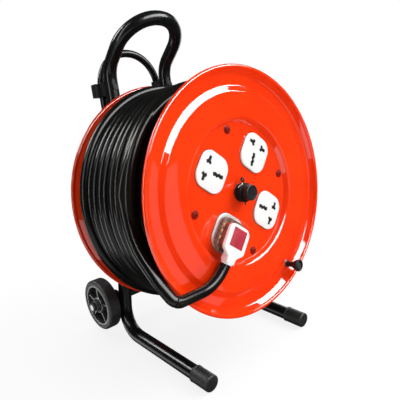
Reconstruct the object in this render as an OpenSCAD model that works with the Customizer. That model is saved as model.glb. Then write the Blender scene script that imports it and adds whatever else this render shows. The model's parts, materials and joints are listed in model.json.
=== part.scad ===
// Extension cord reel: a steel drum of cable that turns on a leaning, bent-tube trolley frame.
// Millimetres, +Z up. The front of the reel faces -Y. The origin is on the floor, at the middle
// of the reel's length and width.

/* [Drum] */
// Diameter over the rolled rim of each flange
flange_d = 360; // [340:5:380]
// Distance between the centres of the two rolled rims
rim_spacing = 185; // [180:1:200]
// Radius of the rolled rim bead
bead_r = 3; // [2:0.5:4]
// Thickness of the pressed sheet
sheet_t = 1.2; // [1:0.1:1.6]
// Depth of the middle disc behind the rim
disc_recess = 12; // [10:0.5:13]
// Outer diameter of the barrel that the cable is wound on
barrel_d = 200; // [196:1:204]
// Diameter of the wound cable pack
pack_d = 340; // [280:5:342]
// Diameter of the cable
cable_d = 15; // [12:0.5:16]

/* [Sockets] */
// Distance of each socket from the drum axis
socket_r = 65; // [63:0.5:67]
// Direction of the first socket
socket_turn = 53; // [50:1:56]
// Side of the square socket face
face_w = 54; // [50:1:55]
// Corner radius of the socket face
face_corner = 18; // [14:1:20]

/* [Plug] */
// Height of the plug above the socket face
plug_h = 22.5; // [20:0.5:26]

/* [Frame] */
// Outer diameter of the main tube
tube_d = 22; // [20:1:24]
// Wall thickness of the main tube
tube_wall = 1.5; // [1.2:0.1:2]
// How far the uprights and the drum lean back
lean = 7.5; // [6:0.5:9]
// Height of the drum axis above the floor
axis_h = 247; // [244:1:260]
// Half the distance between the feet
foot_half = 110; // [106:1:114]
// Half the distance between the handle legs
handle_half = 57; // [55:1:59]
// Distance of the upright plane behind the middle of the drum
upright_back = 125; // [124:1:130]
// Reach of the feet in front of the drum axis
foot_reach = 115; // [100:1:125]
// Centreline radius of the bend at each foot
foot_bend_r = 45; // [40:1:50]

/* [Handle] */
// Height above the drum axis where the handle legs start to bend forward
handle_bend_up = 196; // [190:1:205]
// Centreline radius of the forward bend
handle_bend_r = 40; // [35:1:50]
// Angle of the forward bend
handle_bend = 51; // [45:1:56]
// Straight length between the forward bend and the grip loop
handle_straight = 23; // [15:1:30]

/* [Pull-out bow] */
// Outer diameter of the bow tube
bow_d = 13; // [12:0.5:14]
// Half the distance between the bow legs
bow_half = 59; // [58:0.5:60]
// Distance of the bow behind the middle of the drum
bow_back = 154; // [153:0.5:158]
// How far the bow pulls out
bow_travel = 250; // [150:5:250]

/* [Wheels] */
// Diameter of each wheel
wheel_d = 87; // [80:1:90]
// Width of each wheel
wheel_w = 22; // [18:1:22]
// Diameter of the wheel axle
wheel_axle_d = 10; // [8:1:10]
// Distance of the wheel axle behind the drum axis
wheel_back = 128; // [126:1:134]
// Height of the wheel axle above the floor
wheel_h = 55; // [52:1:60]

/* [Hidden] */
$fn = 72;
BLACK = "#141414";
PAINT = "#ff3d14";
STEEL = "#b8bcc0";
BRASS = "#c9a24a";
WHITE = "#f2f2ef";

// Small fits
run_gap = 0.05;     // radial clearance of a running fit
loose_gap = 0.3;    // radial clearance of a bolt in its hole
seat_gap = 0.03;    // clearance where two fixed parts rest on each other

// Joints between the straights and the bends of a bar
joint_gap = 0.1;
dowel_bite = 0.5;
dowel_slim = 0.25;
loop_flat = 2;      // straight length at the top of a loop

// Drum levels, measured forward from the middle of the drum
flange_r = flange_d / 2;
rim_z = rim_spacing / 2;
disc_z = rim_z - disc_recess;
step_z = rim_z - 4;
edge_z = rim_z - 8;
inner_z = disc_z - sheet_t;
pack_half_w = inner_z - 0.3;
barrel_r = barrel_d / 2;
pack_r = pack_d / 2;
cable_r = cable_d / 2;

// Drum axle, bushes and hub
axle_r = 8;
bush_r = 11;
bush_lip_r = 13.5;
bush_lip = 1.5;
bush_len = 14;
washer_t = 1;
washer_z = disc_z + bush_lip;
collar_z = washer_z + washer_t;
collar_r = 14;
collar_h = 9.5;
hub_cap_r = 11.5;
hub_cap_h = 10;
hub_groove = 1.5;
hub_cap_z = collar_z + collar_h + hub_groove;
axle_front = hub_cap_z + 6;
split_pin_z = collar_z + collar_h / 2;
split_pin_r = 1.2;
split_pin_up = 16.5;
split_pin_down = 19;

// Tie bolts that hold the flanges on the barrel
tie_r = 93;
tie_turn = 7;
tie_shank_r = 2.5;
tie_head_r = 4.5;
tie_head_h = 2.4;
tie_nut_h = 4;

// Socket stack, measured forward from the middle of the drum
face_t = 3;
face_z = disc_z + face_t;
body_w = 42;
body_depth = 26;
body_corner = 8;
contact_h = 20;
pin_gauge = 11.1;   // half the distance between the pins, both ways
wire_r = 1.5;
wire_rings = [56, 62, 68];
wire_z = disc_z - body_depth - wire_r;
block_angle = 120;
block_r = 62;
block_size = [26, 22, 12];
block_z = wire_z - wire_r - block_size.z;
inlet_z = 10;
grommet_gap = 2.5;

// Plug, in its socket's frame: x away from the hub, z forward
plug_socket = 2;
plug_gap = 0.4;
plug_z = face_z + plug_gap;
plug_base_h = 13;
plug_base = [56, 54];
plug_base_shift = 5;
plug_corner = 14;
plug_lid = [46, 42];
plug_lid_shift = 10;
plug_lid_corner = 8;
plug_lid_h = plug_h - plug_base_h - plug_gap;
plug_lid_z = plug_z + plug_base_h;
neck_r = 8.2;
neck_end = 42;
neck_len = 11;
neck_z = plug_lid_z + 1.5;
label_w = 19;
label_t = 0.6;
line_pin = [4, 6.35, 17.7];
earth_pin = [8, 4, 22.7];
pin_slack = 0.5;
fuse_r = 3.2;
fuse_len = 25.4;

// Winding knob
knob_r = 160;
knob_angle = -58.4;
knob_neck_r = 3.6;
knob_tip_r = 9.5;
knob_len = 24;
knob_rim = 4;
knob_recess = 2.5;
knob_shaft_r = 2.5;
knob_washer_t = 1;
knob_z = edge_z + knob_washer_t;
knob_nut_h = 3.4;

// Frame tube
tube_r = tube_d / 2;
tube_in = tube_r - tube_wall;
bow_r = bow_d / 2;
bow_wall = 1.2;
cap_r = tube_r + 1.5;
cap_len = 35;
cap_end = 3;
splay_up = 135;
splay_bend_r = 120;
bow_corner_up = 187;
guide_ups = [112, 173];
guide_h = 22;
stop_room = 2;    // left above the stops with the bow pulled out
bow_low = guide_ups[0] - stop_room - bow_travel;
bow_bend_r = 50;

// The reel's reach in front of and behind the drum axis sets where the drum stands
knob_up = knob_r * sin(knob_angle);
front_reach = (knob_z + knob_len) * cos(lean) - (knob_up - knob_tip_r) * sin(lean);
rear_reach = bow_back * cos(lean) + (bow_corner_up + bow_half) * sin(lean) + bow_r;
drum_y = (front_reach - rear_reach) / 2;

// A point of the leaning frame: x across, up along the uprights, back from the middle of the drum
function leaning(x, up, back) = [
    x,
    drum_y + back * cos(lean) + up * sin(lean),
    axis_h - back * sin(lean) + up * cos(lean)
];
function unit(v) = v / norm(v);
function turn_angle(a, b) = acos(max(-1, min(1, a * b)));

// Feet: each lies on the floor at its bend and on its thicker cap at the front
ankle_up = (tube_r - axis_h + upright_back * sin(lean)) / cos(lean);
ankle = leaning(foot_half, ankle_up, upright_back);
knee = leaning(handle_half, splay_up, upright_back);
ankle_turn = turn_angle([0, 1, 0], unit(knee - ankle));
foot_tip_y = drum_y - foot_reach;
foot_flat = ankle.y - foot_bend_r * tan(ankle_turn / 2) - foot_tip_y - cap_len;
foot_slope = atan((cap_r - tube_r) / foot_flat);
foot_tip_z = cap_r * cos(foot_slope) + cap_len * sin(foot_slope);
heel_z = foot_tip_z - (ankle.y - foot_tip_y) * tan(foot_slope);

// Right half of the main tube, from the foot to the grip, as corners with bend radii
grip_turn_up = handle_bend_up + handle_bend_r * tan(handle_bend / 2);
grip_run = handle_bend_r * tan(handle_bend / 2) + handle_straight + handle_half;
grip_up = grip_turn_up + grip_run * cos(handle_bend);
grip_back = upright_back - grip_run * sin(handle_bend);
half_path = [
    [foot_half, foot_tip_y, foot_tip_z],
    [foot_half, ankle.y, heel_z],
    knee,
    leaning(handle_half, grip_turn_up, upright_back),
    leaning(handle_half, grip_up, grip_back)
];
half_bends = [0, foot_bend_r, splay_bend_r, handle_bend_r, handle_half - loop_flat / 2];
foot_dir = unit(half_path[0] - half_path[1]);

// Wheels
wheel_y = drum_y + wheel_back;
wheel_r = wheel_d / 2;
wheel_axle_r = wheel_axle_d / 2;
axle_tube_r = 8;
wheel_in = 121;
wheel_out = wheel_in + wheel_w;
hub_r = 14.5;
hub_proud = 4;
tyre_t = 7.5;
spoke_t = 3.2;
spokes = 5;
nut_h = 6;
wheel_washer_t = 1;

// Guides that hold the bow on the uprights
guide_r = 10;
guide_lug = 6;
guide_bolt_r = 2.5;
guide_bolt_z = bow_r + 1 - bow_back;
stop_r = 8;
stop_h = 8;
stop_plug = 14;

// Axle plate
plate_t = 3;
plate_h = 44;
plate_z = -(upright_back - tube_r);
plate_half = 94;
plate_bolt_r = 3;
plate_bolt_up = 14;

// ---- Helpers ----

// Stands its child on the drum axis: z runs forward along the axle and y up along the uprights
module on_drum() {
    translate([0, drum_y, axis_h]) rotate([90 - lean, 0, 0]) children();
}

module both_sides() {
    children();
    mirror([1, 0, 0]) children();
}

module at_sockets(which = [0 : 3]) {
    for (i = which) rotate([0, 0, socket_turn + 90 * i]) translate([socket_r, 0, 0]) children();
}

module at_ties() {
    for (i = [0 : 3]) rotate([0, 0, tie_turn + 90 * i]) translate([tie_r, 0, 0]) children();
}

module at_knob() {
    rotate([0, 0, knob_angle]) translate([knob_r, 0, 0]) children();
}

module ring(r_out, r_in, h) {
    difference() {
        cylinder(r = r_out, h = h);
        translate([0, 0, -1]) cylinder(r = r_in, h = h + 2);
    }
}

module hex(across_flats, h) {
    cylinder(r = across_flats / 2 / cos(30), h = h, $fn = 6);
}

// Block with rounded corners, centred in x and y
module rounded_block(size, h, corner) {
    translate([-size.x / 2 + corner, -size.y / 2, 0]) cube([size.x - 2 * corner, size.y, h]);
    translate([-size.x / 2, -size.y / 2 + corner, 0]) cube([size.x, size.y - 2 * corner, h]);
    for (sx = [-1, 1], sy = [-1, 1])
        translate([sx * (size.x / 2 - corner), sy * (size.y / 2 - corner), 0])
            cylinder(r = corner, h = h);
}

// Places its child with z along the direction d and x along the direction a
module framed(origin, a, d) {
    b = cross(d, a);
    multmatrix([
        [a.x, b.x, d.x, origin.x],
        [a.y, b.y, d.y, origin.y],
        [a.z, b.z, d.z, origin.z],
        [0, 0, 0, 1]
    ]) children();
}

// Any direction at right angles to d
function aside(d) = unit(cross(d, abs(d.x) < 0.9 ? [1, 0, 0] : [0, 1, 0]));

// Length that a bend takes from each side of its corner
function bend_cut(p, bends, i) =
    (i <= 0 || i >= len(p) - 1) ? 0 :
    bends[i] * tan(turn_angle(unit(p[i] - p[i - 1]), unit(p[i + 1] - p[i])) / 2);

// Round bar along the corners p, with a bend of the given radius at each inner corner.
// A slim dowel crosses each hairline joint between a straight and a bend.
module bar(p, bends, r, extra = 0) {
    for (i = [0 : len(p) - 2]) {
        d = unit(p[i + 1] - p[i]);
        lead = i == 0 ? -extra : bend_cut(p, bends, i) + joint_gap;
        tail = i == len(p) - 2 ? -extra : bend_cut(p, bends, i + 1) + joint_gap;
        framed(p[i] + d * lead, aside(d), d) cylinder(r = r, h = norm(p[i + 1] - p[i]) - lead - tail);
    }
    for (i = [1 : len(p) - 2]) {
        d_in = unit(p[i] - p[i - 1]);
        d_out = unit(p[i + 1] - p[i]);
        inward = unit(d_out - d_in * (d_in * d_out));
        start = p[i] - d_in * bend_cut(p, bends, i);
        stop = p[i] + d_out * bend_cut(p, bends, i);
        framed(start + inward * bends[i], -inward, cross(-inward, d_in))
            rotate_extrude(angle = turn_angle(d_in, d_out))
                translate([bends[i], 0]) circle(r = r);
        dowel(start, -d_in, r);
        dowel(stop, d_out, r);
    }
}

// Dowel through a joint at the point q, where the bar leaves the bend in the direction d
module dowel(q, d, r) {
    framed(q - d * dowel_bite, aside(d), d)
        cylinder(r = r - dowel_slim, h = joint_gap + 2 * dowel_bite);
}

function mirrored(p) = [for (i = [len(p) - 1 : -1 : 0]) [-p[i].x, p[i].y, p[i].z]];
function reversed(v) = [for (i = [len(v) - 1 : -1 : 0]) v[i]];
frame_path = concat(half_path, mirrored(half_path));
frame_bends = concat(half_bends, reversed(half_bends));

bow_path = [
    leaning(bow_half, bow_low, bow_back),
    leaning(bow_half, bow_corner_up + bow_half, bow_back),
    leaning(-bow_half, bow_corner_up + bow_half, bow_back),
    leaning(-bow_half, bow_low, bow_back)
];
bow_bends = [0, bow_bend_r, bow_bend_r, 0];

// Half the distance between the uprights at a height along them
function upright_half(up) = foot_half
    + (handle_half - foot_half) * min(1, (up - ankle_up) / (splay_up - ankle_up));

// ---- Frame ----

module frame_tube() {
    color(BLACK) difference() {
        bar(frame_path, frame_bends, tube_r);
        bar(frame_path, frame_bends, tube_in, 1);
        on_drum() {
            both_sides() plate_bolt_places() cylinder(r = plate_bolt_r + loose_gap, h = 60, center = true);
            both_sides() guide_bolt_places() translate([0, 0, -upright_back])
                cylinder(r = guide_bolt_r + loose_gap, h = 40, center = true);
        }
    }
}

// Push-fit caps on the ends of the feet
module foot_caps() {
    color(BLACK) both_sides()
        framed(half_path[0] + foot_dir * cap_end, aside(foot_dir), -foot_dir) difference() {
            cylinder(r = cap_r, h = cap_len);
            translate([0, 0, cap_end - seat_gap]) cylinder(r = tube_r + seat_gap, h = cap_len);
        }
}

// Centres of the bolts that hold the axle plate on the right upright
module plate_bolt_places() {
    for (up = [-plate_bolt_up, plate_bolt_up])
        translate([upright_half(up), up, -upright_back]) children();
}

module axle_plate() {
    color(BLACK) on_drum() difference() {
        translate([0, 0, plate_z]) rounded_block([2 * plate_half, plate_h], plate_t, 6);
        translate([0, 0, plate_z - 1]) cylinder(r = axle_r + run_gap, h = plate_t + 2);
        both_sides() plate_bolt_places() cylinder(r = plate_bolt_r + loose_gap, h = 60, center = true);
    }
}

plate_bolt_front = tube_r + plate_t;

module plate_bolts() {
    color(STEEL) on_drum() both_sides() plate_bolt_places() {
        translate([0, 0, -tube_r - 8]) cylinder(r = plate_bolt_r, h = plate_bolt_front + tube_r + 8);
        translate([0, 0, plate_bolt_front]) hex(10, 4);
    }
}

module plate_nuts() {
    color(STEEL) on_drum() both_sides() plate_bolt_places()
        translate([0, 0, -tube_r - seat_gap - 5]) difference() {
            hex(10, 5);
            translate([0, 0, -1]) cylinder(r = plate_bolt_r, h = 7);
        }
}

module drum_axle() {
    color(STEEL) on_drum() difference() {
        translate([0, 0, plate_z - 14]) cylinder(r = axle_r, h = axle_front - plate_z + 14);
        translate([0, 0, split_pin_z]) rotate([90, 0, 0])
            cylinder(r = split_pin_r + 0.1, h = 4 * axle_r, center = true);
    }
}

module axle_nut() {
    color(STEEL) on_drum() translate([0, 0, plate_z - 10]) difference() {
        hex(24, 10);
        translate([0, 0, -1]) cylinder(r = axle_r, h = 12);
    }
}

// Sleeve that keeps the drum clear of the axle plate
module rear_spacer() {
    color(BLACK) on_drum() translate([0, 0, plate_z + plate_t])
        ring(12, axle_r + run_gap, -washer_z - washer_t - plate_z - plate_t);
}

module thrust_washers() {
    color(STEEL) on_drum() {
        translate([0, 0, washer_z + run_gap]) ring(bush_lip_r, axle_r + run_gap, washer_t - 2 * run_gap);
        translate([0, 0, -washer_z - washer_t]) ring(bush_lip_r, axle_r + run_gap, washer_t - run_gap);
    }
}

module hub_collar() {
    color(BLACK) on_drum() difference() {
        union() {
            translate([0, 0, collar_z]) cylinder(r = collar_r, h = collar_h);
            translate([0, 0, collar_z + collar_h]) cylinder(r = 10, h = hub_groove);
        }
        cylinder(r = axle_r, h = 200);
        translate([0, 0, split_pin_z]) rotate([90, 0, 0])
            cylinder(r = split_pin_r + 0.1, h = 4 * axle_r, center = true);
    }
}

module hub_cap() {
    color(BLACK) on_drum() difference() {
        translate([0, 0, hub_cap_z]) rotate_extrude() polygon([
            [0, 0], [hub_cap_r, 0], [hub_cap_r, hub_cap_h - 1.5], [hub_cap_r - 1.5, hub_cap_h], [0, hub_cap_h]
        ]);
        cylinder(r = axle_r, h = axle_front + 0.2);
    }
}

module split_pin() {
    color(STEEL) on_drum() translate([0, 0, split_pin_z]) rotate([-90, 0, 0]) {
        translate([0, 0, -split_pin_down]) cylinder(r = split_pin_r, h = split_pin_down + split_pin_up);
        translate([0, 0, split_pin_up + 2.4]) rotate([0, 90, 0])
            rotate_extrude() translate([2.4, 0]) circle(r = split_pin_r);
    }
}

// Blocks bolted to the uprights at two heights, which the bow slides through
module bow_guides() {
    color(BLACK) both_sides() difference() {
        on_drum() rotate([-90, 0, 0]) for (up = guide_ups) translate([0, 0, up]) {
            translate([bow_half, bow_back, 0]) cylinder(r = guide_r, h = guide_h);
            translate([bow_half, bow_back - 7, 0]) cube([guide_r + guide_lug, 14, guide_h]);
            translate([bow_half - guide_r, upright_back + 4, 0])
                cube([2 * guide_r, bow_back - upright_back - 4, guide_h]);
        }
        bar(half_path, half_bends, tube_r + seat_gap);
        on_drum() {
            rotate([-90, 0, 0]) translate([bow_half, bow_back, 0]) cylinder(r = bow_r + run_gap, h = 400);
            guide_bolt_places() translate([0, 0, guide_bolt_z]) cylinder(r = guide_bolt_r, h = 60);
        }
    }
}

// Places on the right upright's centreline where the guides are bolted
module guide_bolt_places() {
    for (up = guide_ups) translate([upright_half(up + guide_h / 2), up + guide_h / 2, 0]) children();
}

module guide_bolts() {
    color(STEEL) on_drum() both_sides() guide_bolt_places() {
        translate([0, 0, guide_bolt_z]) cylinder(r = guide_bolt_r, h = plate_z - guide_bolt_z + 1);
        translate([0, 0, plate_z]) cylinder(r = 4.5, h = 2);
    }
}

// ---- Wheel axle ----

module across(x) {
    translate([x, wheel_y, wheel_h]) rotate([0, 90, 0]) children();
}

module axle_brackets() {
    color(BLACK) both_sides() difference() {
        union() {
            across(foot_half - 8) cylinder(r = 14, h = 5);
            translate([foot_half - 8, wheel_y - 34, wheel_h - 14]) cube([5, 34, 28]);
        }
        across(0) cylinder(r = axle_tube_r, h = 200);
        bar(frame_path, frame_bends, tube_r + seat_gap);
        translate([0, wheel_y - 60, wheel_h - 20]) cube([200, 60 - 18, 40]);
    }
}

module axle_tube() {
    color(BLACK) across(-wheel_in + wheel_washer_t)
        ring(axle_tube_r, wheel_axle_r + run_gap, 2 * (wheel_in - wheel_washer_t));
}

module wheel_axle() {
    color(STEEL) across(-wheel_out - hub_proud - nut_h)
        cylinder(r = wheel_axle_r, h = 2 * (wheel_out + hub_proud + nut_h));
}

module wheel_washers() {
    color(STEEL) both_sides()
        across(wheel_in - wheel_washer_t) ring(9, wheel_axle_r, wheel_washer_t - run_gap);
}

module wheel_nuts() {
    color(STEEL) both_sides() across(wheel_out + hub_proud + run_gap) difference() {
        union() {
            hex(15, nut_h - 1);
            cylinder(r = 7, h = nut_h);
        }
        translate([0, 0, -1]) cylinder(r = wheel_axle_r, h = nut_h + 3);
    }
}

// Spoked wheel, its axle along z and its outer face up
module wheel_core() {
    difference() {
        union() {
            ring(wheel_r - tyre_t, wheel_r - tyre_t - 4, wheel_w);
            translate([0, 0, wheel_w / 2 - 2]) ring(wheel_r - tyre_t - 2, hub_r - 2, 4);
            cylinder(r = hub_r, h = wheel_w + hub_proud);
            for (i = [0 : spokes - 1]) rotate([0, 0, 180 + 360 / spokes * i])
                translate([hub_r - 3, -spoke_t / 2, 2])
                    cube([wheel_r - tyre_t - hub_r, spoke_t, wheel_w - 3]);
        }
        translate([0, 0, -1]) cylinder(r = wheel_axle_r + run_gap, h = wheel_w + hub_proud + 2);
    }
}

module tyre() {
    rotate_extrude() polygon([
        [wheel_r - tyre_t, 0], [wheel_r - 1.5, 0], [wheel_r, 1.5],
        [wheel_r, wheel_w - 1.5], [wheel_r - 1.5, wheel_w], [wheel_r - tyre_t, wheel_w]
    ]);
}

module wheel_right() { color(BLACK) across(wheel_in) wheel_core(); }
module tyre_right() { color(BLACK) across(wheel_in) tyre(); }
module wheel_left() { color(BLACK) mirror([1, 0, 0]) across(wheel_in) wheel_core(); }
module tyre_left() { color(BLACK) mirror([1, 0, 0]) across(wheel_in) tyre(); }

// ---- Pull-out bow ----

module bow_tube() {
    color(BLACK) difference() {
        bar(bow_path, bow_bends, bow_r);
        bar(bow_path, bow_bends, bow_r - bow_wall, 1);
    }
}

// Plugs in the ends of the bow that stop it leaving its guides
module bow_stops() {
    color(BLACK) on_drum() both_sides() rotate([-90, 0, 0]) translate([bow_half, bow_back, bow_low]) {
        translate([0, 0, -stop_h]) cylinder(r = stop_r, h = stop_h - seat_gap);
        translate([0, 0, -1]) cylinder(r = bow_r - bow_wall - seat_gap, h = stop_plug + 1);
    }
}

// ---- Drum ----

// Pressed flange with its outer side up: raised ring, recessed middle disc and rolled rim
module pressed_flange(bore) {
    difference() {
        union() {
            rotate_extrude() polygon([
                [bore, disc_z], [tie_r + 5.5, disc_z], [tie_r + 13.5, step_z], [flange_r - 36, step_z],
                [flange_r - 28, edge_z], [flange_r - 14, edge_z], [flange_r - bead_r - 1, rim_z],
                [flange_r - bead_r - 1, rim_z - 2 * sheet_t],
                [flange_r - 13.4, edge_z - sheet_t], [flange_r - 28.5, edge_z - sheet_t],
                [flange_r - 36.5, step_z - sheet_t], [tie_r + 14, step_z - sheet_t],
                [tie_r + 6, inner_z], [bore, inner_z]
            ]);
            translate([0, 0, rim_z]) rotate_extrude() translate([flange_r - bead_r, 0]) circle(r = bead_r);
        }
        at_ties() translate([0, 0, inner_z - 1]) cylinder(r = tie_shank_r + loose_gap, h = 4);
    }
}

module front_flange() {
    color(PAINT) on_drum() difference() {
        pressed_flange(bush_r);
        at_sockets() translate([0, 0, inner_z - 1])
            rounded_block([body_w + 0.6, body_w + 0.6], 4, body_corner);
        at_knob() translate([0, 0, edge_z - 4]) cylinder(r = knob_shaft_r + loose_gap, h = 8);
    }
}

module rear_flange() {
    color(PAINT) on_drum() mirror([0, 0, 1]) pressed_flange(bush_r);
}

module barrel() {
    color(PAINT) on_drum() difference() {
        translate([0, 0, -inner_z]) ring(barrel_r, barrel_r - sheet_t, 2 * inner_z);
        rotate([0, 0, block_angle]) translate([barrel_r - 10, 0, inlet_z]) rotate([0, 90, 0])
            cylinder(r = cable_r + grommet_gap, h = 20);
    }
}

module tie_bolts() {
    color(PAINT) on_drum() at_ties() {
        translate([0, 0, -disc_z - tie_nut_h - 1]) cylinder(r = tie_shank_r, h = 2 * disc_z + tie_nut_h + 1);
        translate([0, 0, disc_z]) difference() {
            rotate_extrude() polygon([
                [0, 0], [tie_head_r, 0], [tie_head_r, 0.8], [tie_head_r - 1.6, tie_head_h], [0, tie_head_h]
            ]);
            for (a = [0, 90]) rotate([0, 0, a])
                translate([-2.6, -0.5, tie_head_h - 1.2]) cube([5.2, 1, 2]);
        }
    }
}

module tie_nuts() {
    color(STEEL) on_drum() at_ties() translate([0, 0, -disc_z - tie_nut_h]) difference() {
        hex(8, tie_nut_h);
        translate([0, 0, -1]) cylinder(r = tie_shank_r, h = tie_nut_h + 2);
    }
}

// Plain bushes in the middle of the two flanges
module drum_bushes() {
    color(WHITE) on_drum() for (side = [0, 1]) mirror([0, 0, side]) difference() {
        union() {
            translate([0, 0, disc_z - bush_len]) cylinder(r = bush_r, h = bush_len);
            translate([0, 0, disc_z]) cylinder(r = bush_lip_r, h = bush_lip);
        }
        translate([0, 0, disc_z - bush_len - 1]) cylinder(r = axle_r + run_gap, h = bush_len + 4);
    }
}

// Slots of one socket: earth nearest the hub, the other two away from it
module socket_slots(slack, depth) {
    translate([-pin_gauge, 0, 0]) slot([earth_pin.x + slack, earth_pin.y + slack, depth]);
    for (s = [-1, 1]) translate([pin_gauge, s * pin_gauge, 0])
        slot([line_pin.x + slack, line_pin.y + slack, depth]);
}

module slot(size) {
    translate([-size.x / 2, -size.y / 2, -size.z]) cube(size);
}

module socket_faces() {
    color(WHITE) on_drum() at_sockets() translate([0, 0, disc_z]) difference() {
        rounded_block([face_w, face_w], face_t, face_corner);
        translate([0, 0, face_t + 1]) socket_slots(2 * pin_slack, face_t + 2);
    }
}

module socket_bodies() {
    color(WHITE) on_drum() at_sockets() difference() {
        translate([0, 0, disc_z - body_depth]) rounded_block([body_w, body_w], body_depth, body_corner);
        translate([0, 0, disc_z + 1]) socket_slots(5, body_depth - 1);
    }
}

// Spring clips behind each slot
module socket_contacts() {
    color(BRASS) on_drum() at_sockets() translate([0, 0, disc_z - 3]) difference() {
        socket_slots(4.6, contact_h);
        translate([0, 0, 1]) socket_slots(3, contact_h);
    }
}

// Live, neutral and earth rings that join the backs of the sockets
module link_wires() {
    color("#7a4a22") on_drum() translate([0, 0, wire_z]) for (r = wire_rings)
        rotate_extrude() translate([r, 0]) circle(r = wire_r);
}

module terminal_block() {
    color(WHITE) on_drum() rotate([0, 0, block_angle]) translate([block_r, 0, block_z]) difference() {
        translate([-block_size.x / 2, -block_size.y / 2, 0]) cube(block_size);
        for (y = [-7, 0, 7]) translate([0, y, -1]) cylinder(r = 2, h = 6);
    }
}

module inlet_cable() {
    color(BLACK) on_drum() rotate([0, 0, block_angle])
        bar([[barrel_r - 0.1, 0, inlet_z], [block_r, 0, inlet_z], [block_r, 0, block_z]],
            [0, 18, 0], cable_r);
}

module cable_grommet() {
    color(BLACK) on_drum() rotate([0, 0, block_angle]) translate([barrel_r - sheet_t - 3, 0, inlet_z])
        rotate([0, 90, 0]) difference() {
            union() {
                cylinder(r = cable_r + grommet_gap, h = 2.4 + sheet_t);
                cylinder(r = cable_r + grommet_gap + 2, h = 2);
            }
            translate([0, 0, -1]) cylinder(r = cable_r, h = 10);
        }
}

module cable_pack() {
    color(BLACK) on_drum() translate([0, 0, -pack_half_w])
        ring(pack_r, barrel_r + 0.3, 2 * pack_half_w);
}

// Free end of the cable: from the pack, over the rim and across the face to the plug
plug_angle = socket_turn + 90 * plug_socket;
tail_r = pack_r + cable_r + 0.3;
over_r = flange_r + cable_r + 1.5;
function polar(r, a, z) = [r * cos(a), r * sin(a), z];
tail_start = polar(socket_r + neck_end + 1.2, plug_angle, neck_z);
tail_path = [
    tail_start,
    polar(socket_r + neck_end + 34, plug_angle - 1.5, neck_z - 1),
    polar(over_r + 5, 212, rim_z + cable_r + 7),
    polar(over_r, 204.5, rim_z - 4),
    polar(tail_r + 5.5, 189.5, rim_z - 34),
    polar(tail_r + 1.5, 170, rim_z - 48)
];
tail_bends = [0, 35, 13, 40, 120, 0];

module cable_tail() {
    color(BLACK) on_drum() bar(tail_path, tail_bends, cable_r);
}

// ---- Winding knob ----

module knob_spindle() {
    color(STEEL) on_drum() at_knob() {
        shaft_foot = edge_z - sheet_t - knob_nut_h;
        shaft_top = knob_z + knob_len - knob_recess;
        translate([0, 0, shaft_foot]) cylinder(r = knob_shaft_r, h = shaft_top - shaft_foot + 1);
        translate([0, 0, shaft_top + run_gap]) cylinder(r = 4.2, h = 1.6);
    }
}

module knob_washer() {
    color(STEEL) on_drum() at_knob() translate([0, 0, edge_z]) ring(6, knob_shaft_r, knob_washer_t - run_gap);
}

module knob_nut() {
    color(STEEL) on_drum() at_knob() translate([0, 0, edge_z - sheet_t - knob_nut_h]) difference() {
        hex(8, knob_nut_h);
        translate([0, 0, -1]) cylinder(r = knob_shaft_r, h = knob_nut_h + 2);
    }
}

module winding_knob() {
    color(BLACK) on_drum() at_knob() translate([0, 0, knob_z]) difference() {
        rotate_extrude() polygon([
            [knob_shaft_r + run_gap, 0], [5, 0], [knob_neck_r + 0.6, 3], [knob_neck_r + 0.8, 9],
            [knob_tip_r - 3, 15], [knob_tip_r, knob_len - knob_rim], [knob_tip_r, knob_len - 1],
            [knob_tip_r - 1, knob_len], [knob_shaft_r + run_gap, knob_len]
        ]);
        translate([0, 0, knob_len - knob_recess]) cylinder(r = 5.6, h = 5);
    }
}

// ---- Plug ----

module on_plug() {
    on_drum() at_sockets([plug_socket]) children();
}

// Clear rear shell that carries the pins
module plug_base() {
    color("#d8d2cc") on_plug() difference() {
        translate([plug_base_shift, 0, plug_z]) rounded_block(plug_base, plug_base_h, plug_corner);
        translate([plug_base_shift, 0, plug_z + 3])
            rounded_block([plug_base.x - 5, plug_base.y - 5], plug_base_h, plug_corner - 2);
        translate([0, 0, plug_z + 4]) socket_slots(0, 8);
        translate([30, -neck_r - 0.1, plug_z + plug_base_h - 6.8]) cube([20, 2 * neck_r + 0.2, 20]);
    }
}

module plug_cover() {
    color(WHITE) on_plug() difference() {
        union() {
            translate([plug_lid_shift, 0, plug_lid_z]) rounded_block(plug_lid, plug_lid_h, plug_lid_corner);
            translate([plug_lid_shift, 0, plug_lid_z]) rounded_block(plug_lid + [4, 6], 3, plug_lid_corner);
        }
        translate([plug_lid_shift, 0, plug_lid_z - 1])
            rounded_block(plug_lid - [4, 4], plug_lid_h - 1.5, plug_lid_corner - 2);
        translate([30, 0, neck_z]) rotate([0, 90, 0]) cylinder(r = neck_r, h = 30);
        translate([plug_lid_shift - 4, 0, plug_lid_z + plug_lid_h - label_t])
            translate([-label_w / 2, -label_w / 2, 0]) cube([label_w, label_w, 4]);
    }
}

module plug_label() {
    color("#b3122e") on_plug()
        translate([plug_lid_shift - 4 - label_w / 2, -label_w / 2, plug_lid_z + plug_lid_h - label_t])
            cube([label_w, label_w, label_t]);
}

module plug_pins() {
    color(BRASS) on_plug() {
        translate([-pin_gauge, 0, plug_z + 7]) slot([earth_pin.x, earth_pin.y, earth_pin.z + 7]);
        for (s = [-1, 1]) translate([pin_gauge, s * pin_gauge, plug_z + 7])
            slot([line_pin.x, line_pin.y, line_pin.z + 7]);
    }
}

module plug_fuse() {
    color(STEEL) on_plug() translate([-17, 17, plug_z + 3 + fuse_r]) rotate([0, 90, 0])
        cylinder(r = fuse_r, h = fuse_len);
}

// Cord grip at the plug's cable end
module plug_sleeve() {
    color("#dedad6") on_plug() translate([neck_end - neck_len, 0, neck_z]) rotate([0, 90, 0])
        cylinder(r = neck_r, h = neck_len);
}

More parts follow.
